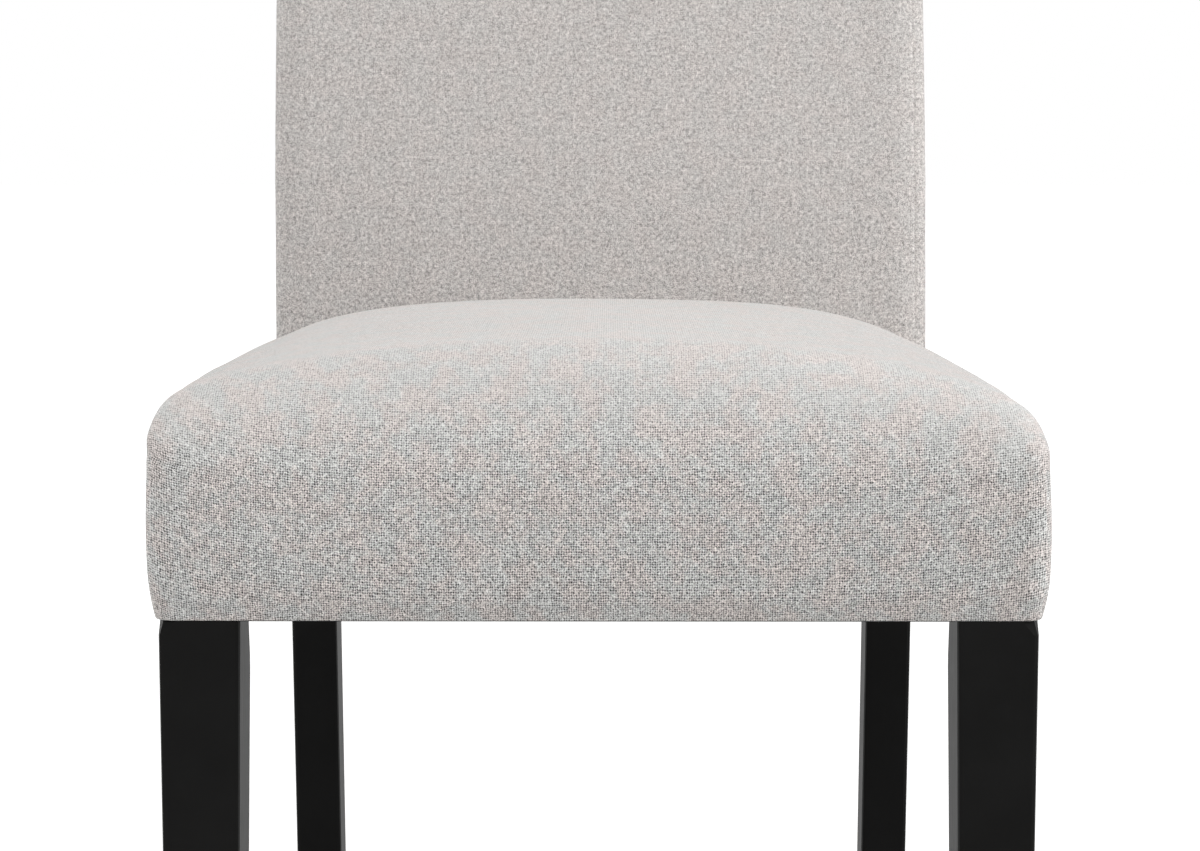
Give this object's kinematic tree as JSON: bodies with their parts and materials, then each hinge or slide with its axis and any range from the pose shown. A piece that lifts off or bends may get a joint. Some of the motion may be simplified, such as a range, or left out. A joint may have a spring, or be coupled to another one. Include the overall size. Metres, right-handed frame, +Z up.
{
  "type": "parsons chair",
  "caption": "Armless dining chair with a fully upholstered crowned seat and tall raked back on square tapered dark legs.",
  "frame": {"origin": "on the floor under the middle of the chair: the centre of the bottom of its box", "axes": "+Z up, -Y the way the seat faces, +X towards the sitter's left hand (left in node names)"},
  "size_m": [0.4858, 0.61, 0.99],
  "materials": {
    "black_paint": "solid hardwood under a satin black lacquer",
    "frame_hardwood": "unfinished planed hardwood",
    "dowel_wood": "plain beech",
    "screw_steel": "zinc plated",
    "seat_webbing": "woven elastic webbing",
    "seat_padding": "open-cell foam",
    "back_padding": "open-cell foam",
    "upholstery_cloth": "plain-woven greige upholstery cloth with darker flecks",
    "back_hardboard": "smooth hardboard",
    "dust_cloth": "black non-woven lining",
    "glide_nylon": "matte black nylon"
  },
  "bodies": {
    "root": {"leg_front_left": "black_paint", "leg_front_right": "black_paint", "post_rear_left": "black_paint", "post_rear_right": "black_paint", "seat_rail_left": "frame_hardwood", "seat_rail_right": "frame_hardwood", "seat_rail_front": "frame_hardwood", "seat_rail_rear": "frame_hardwood", "back_rail_top": "frame_hardwood", "back_rail_middle": "frame_hardwood", "back_rail_lower": "frame_hardwood", "corner_block_front_left": "frame_hardwood", "corner_block_front_right": "frame_hardwood", "corner_block_rear_left": "frame_hardwood", "corner_block_rear_right": "frame_hardwood", "dowel_front_rail_leg_lower_left": "dowel_wood", "dowel_front_rail_leg_lower_right": "dowel_wood", "dowel_front_rail_leg_upper_left": "dowel_wood", "dowel_front_rail_leg_upper_right": "dowel_wood", "dowel_rear_rail_post_lower_left": "dowel_wood", "dowel_rear_rail_post_lower_right": "dowel_wood", "dowel_rear_rail_post_upper_left": "dowel_wood", "dowel_rear_rail_post_upper_right": "dowel_wood", "dowel_side_rail_leg_lower_left": "dowel_wood", "dowel_side_rail_leg_lower_right": "dowel_wood", "dowel_side_rail_leg_upper_left": "dowel_wood", "dowel_side_rail_leg_upper_right": "dowel_wood", "dowel_side_rail_post_lower_left": "dowel_wood", "dowel_side_rail_post_lower_right": "dowel_wood", "dowel_side_rail_post_upper_left": "dowel_wood", "dowel_side_rail_post_upper_right": "dowel_wood", "corner_screw_front_end_left": "screw_steel", "corner_screw_front_end_right": "screw_steel", "corner_screw_front_side_left": "screw_steel", "corner_screw_front_side_right": "screw_steel", "corner_screw_rear_end_left": "screw_steel", "corner_screw_rear_end_right": "screw_steel", "corner_screw_rear_side_left": "screw_steel", "corner_screw_rear_side_right": "screw_steel", "webbing_lengthwise_1": "seat_webbing", "webbing_crosswise_1": "seat_webbing", "webbing_lengthwise_2": "seat_webbing", "webbing_crosswise_2": "seat_webbing", "webbing_lengthwise_3": "seat_webbing", "webbing_crosswise_3": "seat_webbing", "webbing_lengthwise_4": "seat_webbing", "webbing_crosswise_4": "seat_webbing", "seat_foam": "seat_padding", "back_foam": "back_padding", "seat_cover": "upholstery_cloth", "back_cover": "upholstery_cloth", "outside_back_cover": "upholstery_cloth", "back_board": "back_hardboard", "dust_cover": "dust_cloth", "glide_front_left": "glide_nylon", "glide_front_right": "glide_nylon", "glide_rear_left": "glide_nylon", "glide_rear_right": "glide_nylon"}
  },
  "joints": []
}
